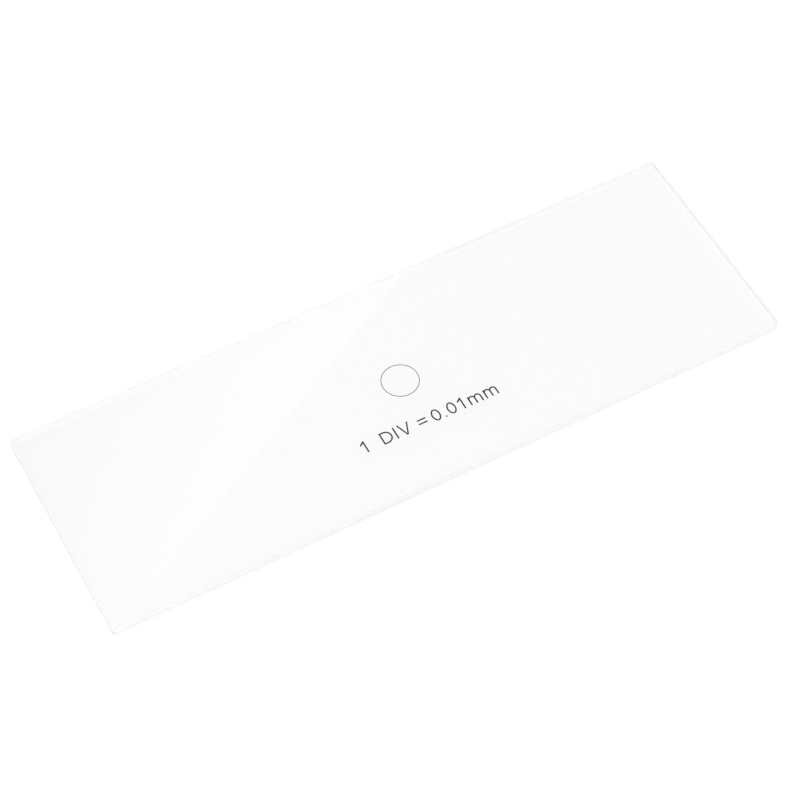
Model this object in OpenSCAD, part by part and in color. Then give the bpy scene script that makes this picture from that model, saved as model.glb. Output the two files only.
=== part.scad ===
// Stage micrometer slide: one plate of clear glass that carries a locating ring,
// a one-millimetre ruled scale at the ring's centre and a plain scale legend.
// Millimetres. The origin is the centre of the underside, X runs along the glass,
// Y across it, and Z points up out of the marked face.

/* [Glass] */
// Length of the slide
slide_l = 76; // [60:0.5:90]
// Width of the slide
slide_w = 25; // [20:0.5:40]
// Thickness of the slide
slide_t = 1.1; // [0.8:0.05:1.6]
// Radius of the four corners, seen from above
corner_r = 0.4; // [0.2:0.05:1.5]
// Width of the ground bevel round both faces
bevel = 0.1; // [0.04:0.02:0.18]

/* [Locating ring] */
// Outside diameter of the ring
ring_d = 4; // [3:0.1:8]
// Width of the ring's line
ring_line = 0.07; // [0.04:0.01:0.3]

/* [Ruled scale] */
// Length of the whole scale
scale_l = 1; // [0.5:0.1:2]
// Number of divisions along the scale
divisions = 100; // [20:10:100]
// Width of one ruled line
rule_line = 0.002; // [0.001:0.0005:0.003]
// Height of a line at each division
rule_short = 0.1; // [0.05:0.01:0.12]
// Height of a line at each fifth division
rule_mid = 0.14; // [0.12:0.01:0.16]
// Height of a line at each tenth division
rule_long = 0.2; // [0.17:0.01:0.4]

/* [Legend] */
// Height of the capitals and figures
cap_h = 1.45; // [1:0.05:2.5]
// Height of the small letters
small_h = 1.08; // [0.7:0.05:1.6]
// Width of every stroke
stroke = 0.16; // [0.08:0.01:0.24]
// Clear space between the ring and the top of the legend
legend_gap = 2.75; // [1:0.25:4]
// How far the legend's middle lies to the right of the ring's
legend_shift = 0.4; // [-2:0.1:2]

/* [Print] */
// Thickness of the printed ink
ink_t = 0.02; // [0.01:0.005:0.04]
// Thickness of the ruled metal film
film_t = 0.004; // [0.002:0.001:0.008]

/* [Hidden] */
$fn = 96;

pitch = scale_l / divisions;

// Each sign is drawn in its own box, and these are the widths of the boxes.
one_w = 0.54;
d_w = 1.2;
v_w = 1.28;
equals_w = 1;
zero_w = 0.97;
m_w = 1.46;

// Radius of a nought's round ends, as a share of its width
ZERO_END = 0.37;

// The clear space that follows a sign: within a word, before a value or a unit,
// before the equals sign, and after the count
sign_gap = 0.33;
value_gap = 0.6;
equals_gap = 0.86;
count_gap = 1.72;

// The legend's signs from left to right: what each is, how wide, and the space after it
SIGNS = [
    ["1", one_w, count_gap],
    ["D", d_w, sign_gap],
    ["I", stroke, sign_gap],
    ["V", v_w, equals_gap],
    ["=", equals_w, value_gap],
    ["0", zero_w, sign_gap],
    [".", stroke, sign_gap],
    ["0", zero_w, sign_gap],
    ["1", one_w, value_gap],
    ["m", m_w, sign_gap],
    ["m", m_w, 0]
];

// Where sign i starts, counted from the legend's left end
function sign_start(i) = i == 0 ? 0 : sign_start(i - 1) + SIGNS[i - 1][1] + SIGNS[i - 1][2];

legend_l = sign_start(len(SIGNS));
baseline = -(ring_d / 2 + legend_gap + cap_h);

// Section of the glass: a rectangle with its four corners bevelled
module bevelled_section(width) {
    half = width / 2;
    polygon([
        [-half + bevel, 0], [half - bevel, 0],
        [half, bevel], [half, slide_t - bevel],
        [half - bevel, slide_t], [-half + bevel, slide_t],
        [-half, slide_t - bevel], [-half, bevel]
    ]);
}

// A round post with the same bevels, which makes one corner of the glass
module corner_post() {
    rotate_extrude()
        polygon([
            [0, 0], [corner_r - bevel, 0],
            [corner_r, bevel], [corner_r, slide_t - bevel],
            [corner_r - bevel, slide_t], [0, slide_t]
        ]);
}

module slide_glass() {
    color("azure", 0.5)
        union() {
            rotate([90, 0, 90])
                linear_extrude(slide_l - 2 * corner_r, center = true)
                    bevelled_section(slide_w);
            rotate([90, 0, 0])
                linear_extrude(slide_w - 2 * corner_r, center = true)
                    bevelled_section(slide_l);
            for (x = [-1, 1], y = [-1, 1])
                translate([x * (slide_l / 2 - corner_r), y * (slide_w / 2 - corner_r), 0])
                    corner_post();
        }
}

// Flat ring of a given outside diameter and line width
module flat_ring(outside_d, line) {
    difference() {
        circle(d = outside_d);
        circle(d = outside_d - 2 * line);
    }
}

module locating_ring() {
    color("dimgray")
        translate([0, 0, slide_t])
            linear_extrude(ink_t)
                flat_ring(ring_d, ring_line);
}

// Height of ruled line i: each tenth is the longest and each fifth comes next
function rule_height(i) = i % 10 == 0 ? rule_long : i % 5 == 0 ? rule_mid : rule_short;

module ruled_scale() {
    color("gray")
        translate([-scale_l / 2, -rule_long / 2, slide_t])
            linear_extrude(film_t)
                for (i = [0:divisions])
                    translate([i * pitch - rule_line / 2, 0])
                        square([rule_line, rule_height(i)]);
}

module upright(x, height) {
    translate([x, 0])
        square([stroke, height]);
}

// An upright with a flag that falls to the left
module sign_one() {
    stem_x = one_w - stroke;
    flag_tip = cap_h * 0.77;
    flag_foot = cap_h * 0.65;
    flag_root = cap_h * 0.82;
    polygon([
        [stem_x, 0], [one_w, 0], [one_w, cap_h], [stem_x + stroke / 4, cap_h],
        [0, flag_tip], [0, flag_foot], [stem_x, flag_root]
    ]);
}

// Straight back, with the bowl a half circle as high as the letter
module sign_d() {
    bowl_x = d_w - cap_h / 2;
    upright(0, cap_h);
    for (y = [0, cap_h - stroke])
        translate([0, y])
            square([bowl_x, stroke]);
    translate([bowl_x, cap_h / 2])
        intersection() {
            flat_ring(cap_h, stroke);
            translate([0, -cap_h / 2])
                square(cap_h);
        }
}

module sign_v() {
    top = stroke * 1.1;
    foot = stroke * 0.6;
    middle = v_w / 2;
    polygon([
        [0, cap_h], [middle - foot, 0], [middle + foot, 0], [v_w, cap_h],
        [v_w - top, cap_h], [middle, stroke], [top, cap_h]
    ]);
}

module sign_equals() {
    bar_heights = [0.34 * cap_h, 0.66 * cap_h];
    for (y = bar_heights)
        translate([0, y - stroke / 2])
            square([equals_w, stroke]);
}

// An upright oval of four arcs: two flat ones at the sides run smoothly into the ends
module oval(inset) {
    end_r = ZERO_END * zero_w;
    end_y = cap_h / 2 - end_r;
    side_r = (pow(zero_w / 2, 2) + pow(end_y, 2) - pow(end_r, 2)) / (zero_w - 2 * end_r);
    side_x = side_r - zero_w / 2;
    join_y = (side_r - inset) * end_y / (side_r - end_r);
    intersection() {
        translate([-side_x, 0])
            circle(r = side_r - inset);
        translate([side_x, 0])
            circle(r = side_r - inset);
        square([zero_w, 2 * join_y], center = true);
    }
    for (y = [-end_y, end_y])
        translate([0, y])
            circle(r = end_r - inset);
}

module sign_zero() {
    translate([zero_w / 2, cap_h / 2])
        difference() {
            oval(0);
            oval(stroke);
        }
}

// Three uprights under two round arches
module sign_m() {
    step = (m_w - stroke) / 2;
    arch_d = step + stroke;
    spring_y = small_h - arch_d / 2;
    upright(0, small_h);
    for (i = [0, 1])
        translate([i * step, 0]) {
            upright(step, spring_y);
            translate([arch_d / 2, spring_y])
                intersection() {
                    flat_ring(arch_d, stroke);
                    translate([-arch_d / 2, 0])
                        square(arch_d);
                }
        }
}

module sign(name) {
    if (name == "1") sign_one();
    if (name == "D") sign_d();
    if (name == "I") upright(0, cap_h);
    if (name == "V") sign_v();
    if (name == "=") sign_equals();
    if (name == "0") sign_zero();
    if (name == ".") square(stroke);
    if (name == "m") sign_m();
}

module scale_legend() {
    color("black")
        translate([legend_shift - legend_l / 2, baseline, slide_t])
            linear_extrude(ink_t)
                for (i = [0:len(SIGNS) - 1])
                    translate([sign_start(i), 0])
                        sign(SIGNS[i][0]);
}

slide_glass();
locating_ring();
ruled_scale();
scale_legend();
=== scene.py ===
# %% [markdown]
# # A stage micrometer slide, dressed in Blender
#
# The part is a plain microscope slide with three marks on its upper face: a thin
# printed ring, a ruled scale one millimetre long inside the ring, and a printed
# legend that gives the value of a division. The CAD model holds every size. This
# lesson makes what the CAD model leaves plain: clear glass with polished faces and
# ground edges, ink that looks printed, and the soft studio light without which a
# sheet of glass on white paper can't be seen at all.
#
# Everything is in metres, and the origin is the centre of the slide's underside.

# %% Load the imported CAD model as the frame
import math

import bmesh
import bpy
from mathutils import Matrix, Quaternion, Vector


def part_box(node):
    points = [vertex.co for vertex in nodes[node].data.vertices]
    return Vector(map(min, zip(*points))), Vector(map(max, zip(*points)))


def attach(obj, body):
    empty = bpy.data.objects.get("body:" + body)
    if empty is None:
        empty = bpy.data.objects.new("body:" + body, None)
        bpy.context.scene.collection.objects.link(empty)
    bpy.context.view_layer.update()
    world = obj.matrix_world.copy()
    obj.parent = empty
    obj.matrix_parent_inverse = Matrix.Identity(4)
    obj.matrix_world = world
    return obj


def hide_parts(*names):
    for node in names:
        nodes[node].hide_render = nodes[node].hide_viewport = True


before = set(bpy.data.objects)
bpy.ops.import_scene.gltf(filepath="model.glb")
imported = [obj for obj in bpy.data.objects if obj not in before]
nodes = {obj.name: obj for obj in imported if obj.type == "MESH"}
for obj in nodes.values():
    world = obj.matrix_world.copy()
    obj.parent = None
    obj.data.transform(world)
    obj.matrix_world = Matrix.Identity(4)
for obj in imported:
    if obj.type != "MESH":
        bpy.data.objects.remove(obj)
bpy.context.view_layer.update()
print("CAD nodes:", ", ".join(sorted(nodes)))

# %% [markdown]
# ## The sizes that the looks need
#
# Each size and place comes from the frame, so a change to the CAD model carries over.
# Most are the size of a node's box, and the rest are read off its vertices: the long
# wall of the glass ends where a corner begins to turn, and starts at the top of the
# lower bevel. Very small parts are modelled as if one unit were one millimetre and
# shrunk at the end, because Blender's modelling tools ignore anything thinner than a
# micrometre or so.

# %% Read the slide's sizes off the CAD nodes
MM = 0.001
CLOSE = 1e-4  # two places nearer than this, in mm, count as the same

glass_low, glass_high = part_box("slide_glass")
ring_low, ring_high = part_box("locating_ring")
slide_l, slide_w, slide_t = (glass_high - glass_low) / MM
face_z = glass_high.z
ink_t = (ring_high.z - ring_low.z) / MM
reaches = [vertex.co.xy.length / MM for vertex in nodes["locating_ring"].data.vertices]
ring_outer, ring_inner = max(reaches), min(reaches)
cad_points = [vertex.co / MM for vertex in nodes["slide_glass"].data.vertices]
long_wall = [point for point in cad_points if point.y > slide_w / 2 - CLOSE]
corner_r = slide_l / 2 - max(point.x for point in long_wall)
bevel = min(point.z for point in long_wall)
print(f"slide {slide_l:.2f} x {slide_w:.2f} x {slide_t:.2f} mm")
print(f"corners rounded to {corner_r:.3f} mm, bevels {bevel:.3f} mm wide")
print(f"ring from {ring_inner:.3f} to {ring_outer:.3f} mm out, ink {ink_t:.3f} mm thick")

# %% [markdown]
# ## The camera
#
# A slide this thin is looked at from well above, with a long lens that keeps its
# long sides almost parallel. The camera is described as it would be set up by hand:
# how far it stands round the object, how high, how far away, and what it aims at.
# It is also rolled by half a degree, as a camera on a tripod often is.

# %% Place the camera
CAMERA_ROUND = math.radians(-28.032)
CAMERA_HEIGHT = math.radians(55.492)
CAMERA_ROLL = math.radians(-0.502)
CAMERA_AWAY = 0.249245
LENS_MM = 109.84

aim = Vector((-0.809 * MM, -1.451 * MM, 0))
towards_camera = Vector((
    math.sin(CAMERA_ROUND) * math.cos(CAMERA_HEIGHT),
    -math.cos(CAMERA_ROUND) * math.cos(CAMERA_HEIGHT),
    math.sin(CAMERA_HEIGHT),
))
bpy.ops.object.camera_add(location=aim + towards_camera * CAMERA_AWAY)
camera = bpy.context.object
camera.name = "studio_camera"
camera.rotation_mode = "QUATERNION"
level = (-towards_camera).to_track_quat("-Z", "Y")
camera.rotation_quaternion = level @ Quaternion((0, 0, 1), CAMERA_ROLL)
camera.data.lens = LENS_MM
camera.data.sensor_width = 36
camera.data.clip_start = 0.01
bpy.context.scene.camera = camera
bpy.context.scene.view_settings.view_transform = "Standard"
print("camera at, mm:", [round(c / MM, 1) for c in camera.location])

# %% [markdown]
# ## Helpers for node materials
#
# A material is a small graph. `node` adds one node and sets its inputs by name, so
# that a finish can be written as a few readable lines. An input that is given a
# socket is linked, and one that is given a number or a colour is set. The kinds of
# node that come back again and again get a helper of their own: `noise` for a
# pattern, `ranged` to fit a value into another range, and two kinds of mix.

# %% Helpers for nodes and materials
def node(tree, kind, settings=None, **inputs):
    """Adds a shader node. `settings` are its own options, and `inputs` its sockets."""
    made = tree.nodes.new(kind)
    for name, value in (settings or {}).items():
        setattr(made, name, value)
    for name, value in inputs.items():
        put(tree, made.inputs[name.replace("_", " ")], value)
    return made


def put(tree, socket, value):
    """Links a socket to another one, or sets it to a plain number or colour."""
    if isinstance(value, bpy.types.NodeSocket):
        tree.links.new(value, socket)
    else:
        socket.default_value = value


def math_node(tree, operation, *values):
    """One Math node, with its numbers or sockets in order. Gives its result."""
    made = tree.nodes.new("ShaderNodeMath")
    made.operation = operation
    for socket, value in zip(made.inputs, values, strict=False):
        put(tree, socket, value)
    return made.outputs[0]


def empty_material(name):
    """A new material with only its output node. Gives the material, tree and output."""
    material = bpy.data.materials.new(name)
    material.use_nodes = True
    tree = material.node_tree
    tree.nodes.clear()
    return material, tree, tree.nodes.new("ShaderNodeOutputMaterial")


# %% Helpers for patterns and mixes
def noise(tree, where, scale, detail, roughness=0.5, distortion=0.0):
    """A noise pattern over the coordinates `where`. Gives its value."""
    made = node(
        tree, "ShaderNodeTexNoise", Vector=where, Scale=scale, Detail=detail,
        Roughness=roughness, Distortion=distortion,
    )
    return made.outputs[0]


def ranged(tree, value, start, end, low=0.0, high=1.0, smooth=False):
    """Turns `start` to `end` into `low` to `high`, with or without soft ends."""
    ends = {"interpolation_type": "SMOOTHSTEP" if smooth else "LINEAR"}
    made = node(
        tree, "ShaderNodeMapRange", ends, Value=value,
        From_Min=start, From_Max=end, To_Min=low, To_Max=high,
    )
    return made.outputs["Result"]


def mixed_colour(tree, share, first, second, blend="MIX"):
    """The first colour with a share of the second blended in."""
    made = node(
        tree, "ShaderNodeMix", {"data_type": "RGBA", "blend_type": blend}, Factor=share
    )
    put(tree, made.inputs[6], first)
    put(tree, made.inputs[7], second)
    return made.outputs[2]


def mixed_shader(tree, share, first, second):
    """The first surface with a share of the second mixed in."""
    made = node(tree, "ShaderNodeMixShader", Fac=share)
    put(tree, made.inputs[1], first)
    put(tree, made.inputs[2], second)
    return made.outputs[0]


# %% [markdown]
# ## The floor
#
# Clear glass on a white table is almost invisible, and what gives it away is subtle:
# a grey veil where its faces reflect the darker room, its edges, and a faint shadow.
# So the floor is white paper that glows just enough to look white to the camera, in a
# mirror and through glass, while it gives the slide no more light than matt paper
# does. Close to the slide a share of it stays matt, and so takes the shadow. That
# share fades out further away, so that the floor has no visible end. From below the
# paper is left out, or it would hide the underside of the slide.

# %% Lay the floor
FLOOR_SIZE = 6.0
FLOOR_GAP = 0.05 * MM  # keeps the floor and the underside of the glass apart

bpy.ops.object.select_all(action="DESELECT")
bpy.ops.mesh.primitive_plane_add(size=FLOOR_SIZE, location=(0, 0, -FLOOR_GAP))
floor = bpy.context.object
floor.name = "paper_floor"
bpy.ops.object.transform_apply(location=True, rotation=True, scale=True)
print(f"floor {FLOOR_SIZE} m wide, {FLOOR_GAP / MM:.2f} mm under the glass")

# %% Make it white paper
PAPER_GLOW = 1.01  # 1 is white, and the rest keeps the noise of the render out of it
PAPER_WHITE = (0.95, 0.95, 0.95, 1)
SHADOW_SHARE = 0.1  # how much of the floor near the slide is matt paper
SHADOW_REACH = 0.09  # the matt share ends this far from the slide's middle

paper, tree, out = empty_material("white_paper")
rays = node(tree, "ShaderNodeLightPath").outputs
seen = math_node(tree, "MAXIMUM", rays["Is Camera Ray"], rays["Is Glossy Ray"])
seen = math_node(tree, "MAXIMUM", seen, rays["Is Transmission Ray"])
where = node(tree, "ShaderNodeTexCoord").outputs["Object"]
away = node(tree, "ShaderNodeVectorMath", {"operation": "LENGTH"}, Vector=where)
near_slide = ranged(
    tree, away.outputs["Value"], SHADOW_REACH, SHADOW_REACH / 2, smooth=True
)
matt_share = math_node(tree, "MULTIPLY", near_slide, SHADOW_SHARE)
matt = node(tree, "ShaderNodeBsdfDiffuse", Color=PAPER_WHITE).outputs[0]
glowing = node(
    tree, "ShaderNodeEmission", Color=(1, 1, 1, 1), Strength=PAPER_GLOW
).outputs[0]
as_seen = mixed_shader(tree, matt_share, glowing, matt)
from_above = mixed_shader(tree, seen, matt, as_seen)
underside = node(tree, "ShaderNodeNewGeometry").outputs["Backfacing"]
left_out = node(tree, "ShaderNodeBsdfTransparent").outputs[0]
put(tree, out.inputs["Surface"], mixed_shader(tree, underside, from_above, left_out))
floor.data.materials.append(paper)
print(paper.name, "has", len(tree.nodes), "nodes")

# %% [markdown]
# ## The room and the lamps
#
# The camera sees the room white, also where it looks straight through the glass. What
# the glass reflects is darker: that difference is the veil that shows where the slide
# is. A real room is pale overhead and darker towards its walls, so the reflection
# follows the height that a ray looks to. Two large soft lamps add the rest of the
# light, at a level where white paper comes out just white. The key lamp stands
# behind the slide, so that its far edges are lit from the back and stay pale.

# %% Colour the room
ROOM_LIGHT = 0.8  # what the room gives matt surfaces
CEILING_IN_GLASS = 0.67  # what polished glass reflects from straight above
WALLS_IN_GLASS = 0.35  # and what it reflects from the side

room = bpy.data.worlds.new("studio_room")
bpy.context.scene.world = room
room.use_nodes = True
tree = room.node_tree
tree.nodes.clear()
rays = node(tree, "ShaderNodeLightPath").outputs
direction = node(tree, "ShaderNodeTexCoord").outputs["Generated"]
upwards = node(tree, "ShaderNodeSeparateXYZ", Vector=direction).outputs["Z"]
mirrored_room = ranged(tree, upwards, 0.0, 1.0, WALLS_IN_GLASS, CEILING_IN_GLASS)
straight = math_node(tree, "LESS_THAN", rays["Glossy Depth"], 0.5)  # not mirrored
through = math_node(tree, "MULTIPLY", rays["Is Transmission Ray"], straight)
through = math_node(tree, "SUBTRACT", through, rays["Is Diffuse Ray"])
white = math_node(tree, "MAXIMUM", rays["Is Camera Ray"], through)
by_surface = node(
    tree, "ShaderNodeMix", {"data_type": "FLOAT"}, Factor=rays["Is Glossy Ray"]
)
put(tree, by_surface.inputs[2], ROOM_LIGHT)
put(tree, by_surface.inputs[3], mirrored_room)
strength = math_node(tree, "MAXIMUM", white, by_surface.outputs[0])
sky = node(tree, "ShaderNodeBackground", Color=(1, 1, 1, 1), Strength=strength)
put(tree, node(tree, "ShaderNodeOutputWorld").inputs["Surface"], sky.outputs[0])
print("room light", ROOM_LIGHT, "and seen in glass", WALLS_IN_GLASS, "to", CEILING_IN_GLASS)


# %% Hang two soft lamps
def soft_lamp(name, place, size, watts):
    """A square area lamp that points at the slide and isn't seen in the glass."""
    bpy.ops.object.light_add(type="AREA", location=place)
    lamp = bpy.context.object
    lamp.name = name
    lamp.rotation_mode = "QUATERNION"
    lamp.rotation_quaternion = (-Vector(place)).to_track_quat("-Z", "Y")
    lamp.data.shape = "SQUARE"
    lamp.data.size = size
    lamp.data.energy = watts
    lamp.visible_glossy = False
    lamp.visible_transmission = False
    print(name, "at", place, "m,", watts, "W")


soft_lamp("key_lamp", place=(-0.25, 0.6, 0.45), size=0.5, watts=1.95)
soft_lamp("fill_lamp", place=(-0.4, -0.4, 0.35), size=0.6, watts=1.2)

# %% [markdown]
# ## Helpers for modelling
#
# Each shape below is made as it would be by hand: add a primitive, enter edit mode,
# select some vertices, edges or faces, and run an operator on them. A script has no
# mouse to select with, so `pick` selects by place. `only` makes sure that no other
# object takes part, and `report` shows whether a mesh is still a closed solid.

# %% Helpers for edit mode
def only(piece):
    """Object mode, with this piece alone selected and active."""
    if bpy.context.mode != "OBJECT":
        bpy.ops.object.mode_set(mode="OBJECT")
    bpy.ops.object.select_all(action="DESELECT")
    piece.select_set(True)
    bpy.context.view_layer.objects.active = piece


def pick(piece, kind, wanted):
    """Enters edit mode with only the parts selected whose corners `wanted` accepts."""
    only(piece)
    bpy.ops.object.mode_set(mode="EDIT")
    bpy.ops.mesh.select_mode(type=kind)
    bpy.ops.mesh.select_all(action="DESELECT")
    shape = bmesh.from_edit_mesh(piece.data)
    parts = {"VERT": shape.verts, "EDGE": shape.edges, "FACE": shape.faces}[kind]
    chosen = 0
    for part in parts:
        corners = [part.co] if kind == "VERT" else [v.co for v in part.verts]
        if wanted(corners):
            part.select_set(True)
            chosen += 1
    bmesh.update_edit_mesh(piece.data)
    return chosen


def to_metres(piece):
    """Shrinks a piece that was modelled in millimetres and applies it to the mesh."""
    only(piece)
    piece.scale = (MM, MM, MM)
    bpy.ops.object.transform_apply(location=True, rotation=True, scale=True)


def report(piece, unit):
    """Prints a piece's faces, the edges that aren't closed, and its volume."""
    shape = bmesh.new()
    shape.from_mesh(piece.data)
    open_edges = sum(not edge.is_manifold for edge in shape.edges)
    volume = shape.calc_volume(signed=True)
    shape.free()
    print(f"{piece.name}: {len(piece.data.polygons)} faces, {open_edges} open edges,")
    print(f"  volume {volume:.4g} cubic {unit}")


# %% [markdown]
# ## A card above the glass
#
# The pale wedge that crosses the glass is a reflection: a large sheet of white card
# hangs over the table, and its straight side is mirrored in the polished face. To
# hang it right, the sheet is worked out backwards. The camera is mirrored in the
# glass, and a line from that mirrored camera through a point on the glass meets the
# card where that point of the glass sees it. No lamp lights the card: it glows, and
# it is seen only in the glass. Its glow is painted light, brightest along that side
# and dimmer away from it, as a sheet is that is lit from one side only.

# %% Work out where the glass sees the card
CARD_HEIGHT = 0.45
WEDGE_EDGE = (Vector((-34.5, -10.8)), Vector((6.0, 11.5)))  # on the glass, in mm

mirrored_camera = camera.location.copy()
mirrored_camera.z = 2 * face_z - camera.location.z


def seen_on_card(x, y):
    """The point of the card that is mirrored at x, y on the glass, given in mm."""
    on_glass = Vector((x * MM, y * MM, face_z))
    line = on_glass - mirrored_camera
    return mirrored_camera + line * (CARD_HEIGHT - mirrored_camera.z) / line.z


edge_start, edge_end = (seen_on_card(*point) for point in WEDGE_EDGE)
print("card side from", edge_start[:], "to", edge_end[:])

# %% Hang the card
CARD_REACH = 0.9  # the side of the square sheet that the card is cut from

cut_line = edge_end - edge_start
off_line = cut_line.cross(Vector((0, 0, 1))).normalized()  # away from the card
bpy.ops.object.select_all(action="DESELECT")
bpy.ops.mesh.primitive_plane_add(size=CARD_REACH, location=seen_on_card(0, 0))
card = bpy.context.object
card.name = "hung_card"
bpy.ops.object.transform_apply(location=True, rotation=True, scale=True)
bpy.ops.object.mode_set(mode="EDIT")
bpy.ops.mesh.select_all(action="SELECT")
bpy.ops.mesh.bisect(plane_co=edge_start, plane_no=off_line, clear_outer=True)
only(card)
print("card has", len(card.data.vertices), "corners after the cut")
card.visible_camera = False
card.visible_diffuse = False
card.visible_shadow = False

# %% Let the card fade
CARD_BRIGHT = 0.865  # beside its straight side
CARD_DIM = 0.42  # at the corner of the glass that is farthest from that side
BRIGHT_FROM = (-9, 9)  # the places on the glass, in mm, between which it fades
DIM_FROM = (-23.5, 23.5)
FADES_ALONG = Vector((1, -1, 0))

card_paint, tree, out = empty_material("fading_card")
where = node(tree, "ShaderNodeTexCoord").outputs["Object"]
along = node(
    tree, "ShaderNodeVectorMath", {"operation": "DOT_PRODUCT"}, Vector=where
)
put(tree, along.inputs[1], FADES_ALONG)
dim_at, bright_at = (
    seen_on_card(*place).dot(FADES_ALONG) for place in (DIM_FROM, BRIGHT_FROM)
)
fade = ranged(tree, along.outputs["Value"], dim_at, bright_at, CARD_DIM, CARD_BRIGHT)
# painted light: the card glows, brighter beside its straight side, instead of being lit by
# the lamps
glowing_card = node(tree, "ShaderNodeEmission", Color=(1, 1, 1, 1), Strength=fade)
put(tree, out.inputs["Surface"], glowing_card.outputs[0])
card.data.materials.append(card_paint)
print(f"card fades from {bright_at:.3f} m to {dim_at:.3f} m")

# %% [markdown]
# ## The glass
#
# A slide is cut from a drawn sheet, so its two faces are flat and polished, while
# its cut edges are ground with a fine wheel: the four corners are rounded off a
# little, and a narrow bevel runs round both faces. The glass could be left as the
# CAD solid, but then its bevels would be perfect. Here the plate is modelled from a
# block by the same steps as the maker takes, and the ground lines waver slightly.

# %% Cut the block and round its upright corners
CORNER_STEPS = 8  # flat faces round each corner

bpy.ops.object.select_all(action="DESELECT")
bpy.ops.mesh.primitive_cube_add(size=1, location=(0, 0, slide_t / 2))
plate = bpy.context.object
plate.name = "glass_plate"
plate.scale = (slide_l, slide_w, slide_t)
bpy.ops.object.transform_apply(location=True, rotation=True, scale=True)
upright = pick(plate, "EDGE", lambda c: abs(c[0].z - c[1].z) > slide_t / 2)
bpy.ops.mesh.bevel(offset=corner_r, segments=CORNER_STEPS, profile=0.5, affect="EDGES")
print(upright, "upright corners rounded")

# %% [markdown]
# Each straight wall is still one face, with nothing between its ends that could
# waver. So the walls are divided first. Subdivide cuts right across the two big
# faces as well, where no cut is wanted, and Dissolve makes each of them one face
# again. Then the bevel is ground round both, on every edge that has a sharp turn.

# %% Divide the walls
LONG_CUTS = 95
END_CUTS = 31

for across, side, cuts in ((0, slide_l, LONG_CUTS), (1, slide_w, END_CUTS)):
    found = pick(plate, "EDGE", lambda c: abs(c[0][across] - c[1][across]) > side / 2)
    bpy.ops.mesh.subdivide(number_cuts=cuts)
    print(found, "edges cut", cuts, "times")
for z in (0, slide_t):
    found = pick(plate, "FACE", lambda c: all(abs(corner.z - z) < CLOSE for corner in c))
    bpy.ops.mesh.dissolve_faces()
    print(found, "faces at height", round(z, 2), "joined")
only(plate)
report(plate, "mm")

# %% Grind the bevels
SHARP = math.radians(60)  # an edge that turns more than this is sharp

pick(plate, "EDGE", lambda c: False)
bpy.ops.mesh.edges_select_sharp(sharpness=SHARP)
bpy.ops.mesh.bevel(offset=bevel, segments=1, affect="EDGES")
only(plate)
report(plate, "mm")

# %% [markdown]
# Grinding by hand leaves a bevel that is a little wider here and narrower there.
# A Displace modifier moves vertices by a cloud pattern, and a vertex group limits it
# to a line of them. Each line only slides within its own flat face: the border of
# the polished face moves sideways, and the border of the wall up and down. So the
# faces stay flat and the slide keeps its outside size.

# %% Find the ground lines
halves = (slide_l / 2, slide_w / 2, slide_t / 2)


def near_to(value, wanted):
    """Whether a coordinate lies at `wanted` or at minus `wanted`, in mm."""
    return abs(abs(value) - wanted) < CLOSE


def ground_line(across, inset, drop):
    """The vertices that lie `inset` from a wall and `drop` from a face, in mm."""
    along = 1 - across
    straight = halves[along] - corner_r - CLOSE
    return [
        v.index for v in plate.data.vertices
        if near_to(v.co[across], halves[across] - inset)
        and abs(v.co[along]) < straight
        and near_to(v.co.z - halves[2], halves[2] - drop)
    ]


print(len(ground_line(1, bevel, 0)), "vertices border the faces along the long walls")

# %% Let them waver
WAVER = 0.03  # the most that a line wanders from side to side, in mm
CLOUD_SIZE = 1.7  # in mm
ROUND_UNDER = math.radians(20)  # glass shades as one surface over turns up to this


def waver(name, direction, line):
    """Displaces a line of the plate's vertices along one axis by a cloud pattern."""
    group = plate.vertex_groups.new(name=name)
    group.add(line, 1, "REPLACE")
    clouds = bpy.data.textures.new(name, type="CLOUDS")
    clouds.noise_scale = CLOUD_SIZE
    clouds.noise_depth = 3
    moved = plate.modifiers.new(name, "DISPLACE")
    moved.texture = clouds
    moved.vertex_group = name
    moved.direction = direction
    moved.mid_level = 0.5
    moved.strength = WAVER
    bpy.context.view_layer.objects.active = plate
    bpy.ops.object.modifier_apply(modifier=name)
    print(name, len(line), "vertices")


for sides, across in (("long", 1), ("end", 0)):
    waver(f"{sides}_borders", "XY"[across], ground_line(across, bevel, 0))
    waver(f"{sides}_walls", "Z", ground_line(across, 0, bevel))
to_metres(plate)
bpy.ops.object.shade_smooth_by_angle(angle=ROUND_UNDER)
report(plate, "metres")

# %% [markdown]
# ## Polished glass
#
# Polished glass is the shader's Transmission at a refractive index of 1.52, with
# almost no roughness. A sheet this thin has no colour of its own. It is never
# perfectly clean, though: where a cloth has wiped it, a faint film blurs what it
# reflects, so a soft pattern raises the roughness by a hair.
#
# Cycles can't send lamp light through real glass without a great deal of noise. So
# for shadow rays, which ask how much of a lamp reaches a surface, each polished face
# is a clear filter that passes as much as such a face does. The rays that the matt
# paper and the ground edges send out meet a filter too, a slightly darker one. An
# edge is lit partly from inside the glass, and that light has been passed back and
# forth between the faces, which takes a little of it every time.

# %% Make the polished glass
GLASS_IOR = 1.52
THROUGH_ONE_FACE = (0.956, 0.956, 0.956, 1)  # what shadow rays keep at each face
OUT_OF_GLASS = (0.918, 0.918, 0.917, 1)  # what scattered rays keep at each face
WIPED_ALONG = math.radians(24)  # the way that the cloth went
SMEARS = (60, 260, 60)  # per metre, so they are long one way and narrow the other
HAZE = 0.02  # the roughness where the film is thickest

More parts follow.
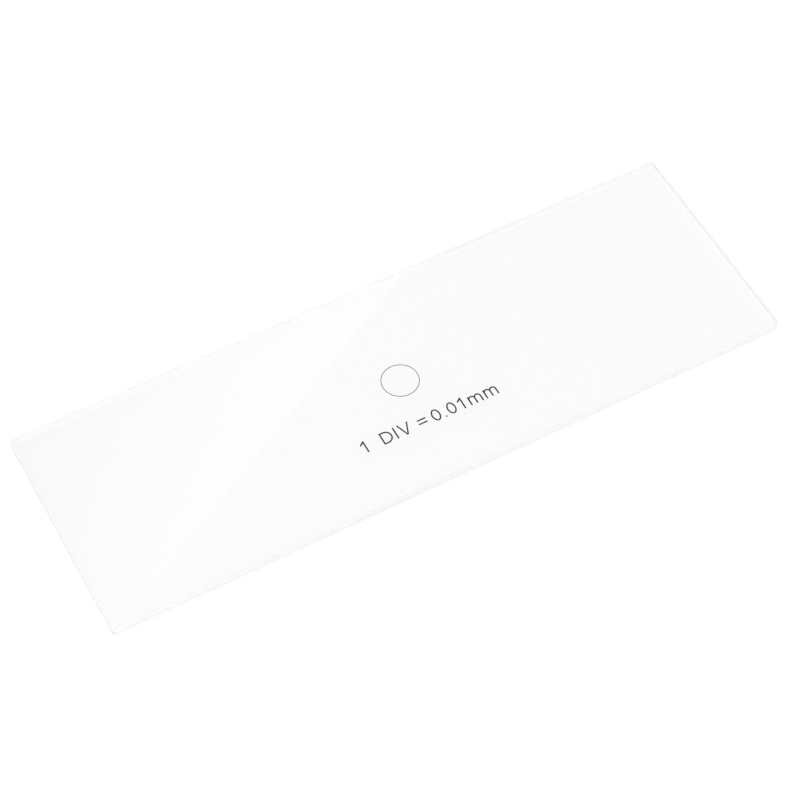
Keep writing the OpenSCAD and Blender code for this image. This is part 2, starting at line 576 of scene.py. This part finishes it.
polished, tree, out = empty_material("polished_glass")
where = node(tree, "ShaderNodeTexCoord").outputs["Object"]
wiped = node(
    tree, "ShaderNodeMapping", Vector=where, Rotation=(0, 0, WIPED_ALONG), Scale=SMEARS
).outputs[0]
smears = noise(tree, wiped, scale=1.0, detail=4.0, roughness=0.6, distortion=0.4)
glass = node(
    tree, "ShaderNodeBsdfPrincipled", Base_Color=(1, 1, 1, 1),
    Roughness=ranged(tree, smears, 0.5, 0.75, high=HAZE), IOR=GLASS_IOR,
    Transmission_Weight=1.0,
)
rays = node(tree, "ShaderNodeLightPath").outputs
surface = glass.outputs[0]
for kind, passed in (("Is Diffuse Ray", OUT_OF_GLASS), ("Is Shadow Ray", THROUGH_ONE_FACE)):
    clear = node(tree, "ShaderNodeBsdfTransparent", Color=passed).outputs[0]
    surface = mixed_shader(tree, rays[kind], surface, clear)
put(tree, out.inputs["Surface"], surface)
print(polished.name, "has", len(tree.nodes), "nodes")

# %% [markdown]
# ## Ground glass
#
# A ground edge is the same glass with a surface of fine pits. Light that meets it is
# scattered: a part comes back, and more of it goes through in all directions. That
# is what frosted glass does, and it is why such an edge looks white, whichever side
# the light comes from. Rough refraction could say the same, but its light is then
# caught between the two polished faces and the edge turns dark. So the edge is a mix
# of a matt shader, for what comes back, and a Translucent one, for what goes through.
#
# Fine scratches run along every edge, as the wheel leaves them. A noise that changes
# quickly with height and slowly along the wall gives them on all four walls at once.
# A soft painted shade grows towards the underside of each edge, as if the table shaded
# its foot, and the top of the edge has none. The painted shade lies on the outer side
# only. The Geometry node's Backfacing tells that side from the inner one, which is seen
# through the glass and gets no painted shade.

# %% Grind the pits and scratches
SCRATCHES = (900, 900, 26000)  # per metre, so they are long and lie along the walls
PIT_DEPTH = 0.01 * MM

ground, tree, out = empty_material("ground_glass")
where = node(tree, "ShaderNodeTexCoord").outputs["Object"]
along_walls = node(tree, "ShaderNodeMapping", Vector=where, Scale=SCRATCHES).outputs[0]
scratches = noise(tree, along_walls, scale=1.0, detail=4.0)
patches = noise(tree, where, scale=900.0, detail=3.0, roughness=0.6)
pits = noise(tree, where, scale=18000.0, detail=3.0, roughness=0.7)
rough = ranged(tree, pits, 0.3, 0.7, low=0.42, high=0.62)
relief = math_node(tree, "ADD", scratches, pits)
bumpy = node(
    tree, "ShaderNodeBump", Height=relief, Distance=PIT_DEPTH, Strength=0.4
).outputs[0]
print(ground.name, "has a relief of", len(tree.nodes), "nodes")

# %% Tint it, and paint shade on its foot
DARK_TONE = (0.975, 0.976, 0.97, 1)
PALE_TONE = (1.0, 1.0, 0.998, 1)
UNSHADED_ABOVE = 1.0 * MM  # higher up than this an edge has no painted shade
GREY_BELOW = 0.45 * MM  # and lower down than this it has the most
FOOT_SHADE = (0.974, 0.974, 0.972, 1)  # painted shade at the foot: what is left of the light there

marks = math_node(tree, "ADD", scratches, patches)
unshaded_tone = mixed_colour(tree, ranged(tree, marks, 0.8, 1.15), DARK_TONE, PALE_TONE)
height = node(tree, "ShaderNodeSeparateXYZ", Vector=where).outputs["Z"]
low_down = ranged(tree, height, UNSHADED_ABOVE, GREY_BELOW, smooth=True)
inner_side = node(tree, "ShaderNodeNewGeometry").outputs["Backfacing"]
outer_side = math_node(tree, "SUBTRACT", 1.0, inner_side)
# painted shade: darker towards the foot of each edge, on its outer side only
painted_shade = math_node(tree, "MULTIPLY", low_down, outer_side)
tint = mixed_colour(tree, painted_shade, unshaded_tone, FOOT_SHADE, blend="MULTIPLY")
print("foot grey up to", round(UNSHADED_ABOVE / MM, 2), "mm, at its most under",
      round(GREY_BELOW / MM, 2), "mm")

# %% Scatter the light both ways
SCATTERED_THROUGH = 0.7  # the share of the light that goes through

frosted = node(
    tree, "ShaderNodeBsdfPrincipled", Base_Color=tint, Roughness=rough,
    IOR=GLASS_IOR, Specular_IOR_Level=0.1, Normal=bumpy,
).outputs[0]
scattered = node(
    tree, "ShaderNodeBsdfTranslucent", Color=tint, Normal=bumpy
).outputs[0]
edge = mixed_shader(tree, SCATTERED_THROUGH, frosted, scattered)
put(tree, out.inputs["Surface"], edge)
print(ground.name, "has", len(tree.nodes), "nodes")


# %% Give the faces their finish
LEVEL = 0.99  # a face whose normal is at least this upright lies flat

plate.data.materials.clear()
plate.data.materials.append(polished)
plate.data.materials.append(ground)
for face in plate.data.polygons:
    face.material_index = 0 if abs(face.normal.z) > LEVEL else 1
counts = [sum(f.material_index == i for f in plate.data.polygons) for i in (0, 1)]
print(plate.name, "polished and ground faces:", counts)
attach(plate, "root")
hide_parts("slide_glass")

# %% [markdown]
# ## Printed ink
#
# The ring and the legend are screen-printed: a thin layer of nearly black ink that
# has flowed a little before it dried. Ink is matt to satin, never quite even, and
# its surface has a faint orange-peel texture.

# %% Make the ink
PEEL_HEIGHT = 0.004 * MM


def ink(name, dark, pale):
    """Printed ink whose colour wanders between `dark` and `pale`."""
    made, tree, out = empty_material(name)
    where = node(tree, "ShaderNodeTexCoord").outputs["Object"]
    cover = noise(tree, where, scale=5200.0, detail=4.0, roughness=0.65)
    peel = noise(tree, where, scale=26000.0, detail=2.0)
    flow = node(
        tree, "ShaderNodeBump", Height=peel, Distance=PEEL_HEIGHT, Strength=0.4
    ).outputs[0]
    paint = node(
        tree, "ShaderNodeBsdfPrincipled",
        Base_Color=mixed_colour(tree, ranged(tree, cover, 0.35, 0.7), dark, pale),
        Roughness=ranged(tree, cover, 0.3, 0.7, low=0.45, high=0.65),
        IOR=1.5, Normal=flow,
    )
    put(tree, out.inputs["Surface"], paint.outputs[0])
    print(name, "has", len(tree.nodes), "nodes")
    return made


ring_ink = ink("ring_ink_print", (0.02, 0.02, 0.022, 1), (0.05, 0.05, 0.054, 1))
legend_ink = ink("legend_ink_print", (0.014, 0.014, 0.016, 1), (0.04, 0.04, 0.044, 1))

# %% [markdown]
# ## The locating ring
#
# The ring is one thin line of ink with a rounded top, because wet ink pulls itself
# into a low dome. The CAD ring is a flat band of short straight pieces, which shows
# as soon as one looks close. So a new ring is made: the section of the line, a small
# rectangle with its upper corners rounded, is turned round the middle in many steps.
# A Screw modifier does that: without a rise it makes a closed ring instead of a
# thread. The ink is sunk a hair into the glass, so that no gap shows from below.

# %% Draw the section of the ring's line
SINK = 0.002  # how deep the ink goes into the glass, in mm
ROUNDING = 0.012  # how far the ring's upper corners are rounded, in mm

ring_line = ring_outer - ring_inner
depth = ink_t + SINK
bpy.ops.object.select_all(action="DESELECT")
bpy.ops.mesh.primitive_plane_add(
    size=1, rotation=(math.pi / 2, 0, 0),
    location=(ring_inner + ring_line / 2, 0, slide_t + ink_t - depth / 2),
)
ring = bpy.context.object
ring.name = "ring_print"
ring.scale = (ring_line, depth, 1)
bpy.ops.object.transform_apply(location=True, rotation=True, scale=True)
upper = pick(ring, "VERT", lambda c: c[0].z > slide_t + ink_t / 2)
bpy.ops.mesh.bevel(offset=ROUNDING, segments=4, affect="VERTICES")
print(upper, "corners rounded, and the section has", end=" ")
only(ring)
print(len(ring.data.vertices), "points")

# %% Turn the section into a ring
RING_STEPS = 192
SMOOTH_UNDER = math.radians(40)  # ink shades as one surface over turns up to this

pick(ring, "FACE", lambda c: True)
bpy.ops.mesh.delete(type="ONLY_FACE")
only(ring)
turned = ring.modifiers.new("turned", "SCREW")
turned.axis = "Z"
turned.angle = 2 * math.pi
turned.steps = RING_STEPS
turned.render_steps = RING_STEPS
bpy.ops.object.modifier_apply(modifier="turned")
pick(ring, "FACE", lambda c: True)
bpy.ops.mesh.normals_make_consistent(inside=False)
to_metres(ring)
bpy.ops.object.shade_smooth_by_angle(angle=SMOOTH_UNDER)
report(ring, "metres")
ring.data.materials.append(ring_ink)
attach(ring, "root")
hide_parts("locating_ring")

# %% [markdown]
# ## The legend
#
# The letters could be drawn again as text, but their outlines are already in the CAD
# model, in plain strokes. So the legend starts as a copy of that mesh. A CAD mesh is
# loose triangles: its doubles are merged and its flat faces joined, and only then do
# its edges mean something. The rim of each stroke is rounded a little, as ink is.

# %% Copy the legend's outlines and merge them
RIM = 0.008  # how far the rims of the strokes are rounded, in mm

legend = bpy.data.objects.new("legend_print", nodes["scale_legend"].data.copy())
bpy.context.collection.objects.link(legend)
legend.scale = (1 / MM, 1 / MM, 1 / MM)
only(legend)
bpy.ops.object.transform_apply(location=True, rotation=True, scale=True)
loose = len(legend.data.vertices)
pick(legend, "VERT", lambda c: True)
bpy.ops.mesh.remove_doubles(threshold=CLOSE)
bpy.ops.mesh.dissolve_limited(angle_limit=math.radians(1))
only(legend)
print(loose, "loose vertices merged into", len(legend.data.vertices))
report(legend, "mm")

# %% Round the rims and sink the feet
pick(legend, "EDGE", lambda c: False)
bpy.ops.mesh.edges_select_sharp(sharpness=SHARP)
shape = bmesh.from_edit_mesh(legend.data)
for edge in shape.edges:
    edge.select_set(edge.select and min(v.co.z for v in edge.verts) > slide_t + ink_t / 2)
print(sum(edge.select for edge in shape.edges), "rim edges rounded by", RIM, "mm")
bmesh.update_edit_mesh(legend.data)
bpy.ops.mesh.bevel(offset=RIM, segments=2, affect="EDGES")
pick(legend, "VERT", lambda c: c[0].z < slide_t + CLOSE)
bpy.ops.transform.translate(value=(0, 0, -SINK))
to_metres(legend)
bpy.ops.object.shade_smooth_by_angle(angle=SMOOTH_UNDER)
report(legend, "metres")
legend.data.materials.clear()
legend.data.materials.append(legend_ink)
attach(legend, "root")
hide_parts("scale_legend")

# %% [markdown]
# ## The ruled film
#
# The scale's lines are thirty times finer than a hair, and each stands in a film of
# metal so thin that light still comes through it. The CAD node has every line in its
# place, so its mesh stays and only gets its finish: a metal with most of its opacity
# taken away, whose grain makes it darker here and paler there.

# %% Make the ruled film
SEEN_SHARE = 0.1  # how much of the film isn't see-through
DARK_METAL = (0.16, 0.16, 0.17, 1)
PALE_METAL = (0.34, 0.34, 0.36, 1)

film, tree, out = empty_material("ruled_metal_film")
where = node(tree, "ShaderNodeTexCoord").outputs["Object"]
grain = noise(tree, where, scale=30000.0, detail=3.0)
metal = node(
    tree, "ShaderNodeBsdfPrincipled",
    Base_Color=mixed_colour(tree, grain, DARK_METAL, PALE_METAL),
    Roughness=ranged(tree, grain, 0.3, 0.7, low=0.25, high=0.45),
    Metallic=1.0, Alpha=SEEN_SHARE,
)
put(tree, out.inputs["Surface"], metal.outputs[0])
ruled = nodes["ruled_scale"].data
ruled.materials.clear()
ruled.materials.append(film)
print("ruled scale:", len(ruled.polygons), "triangles, now with", film.name)
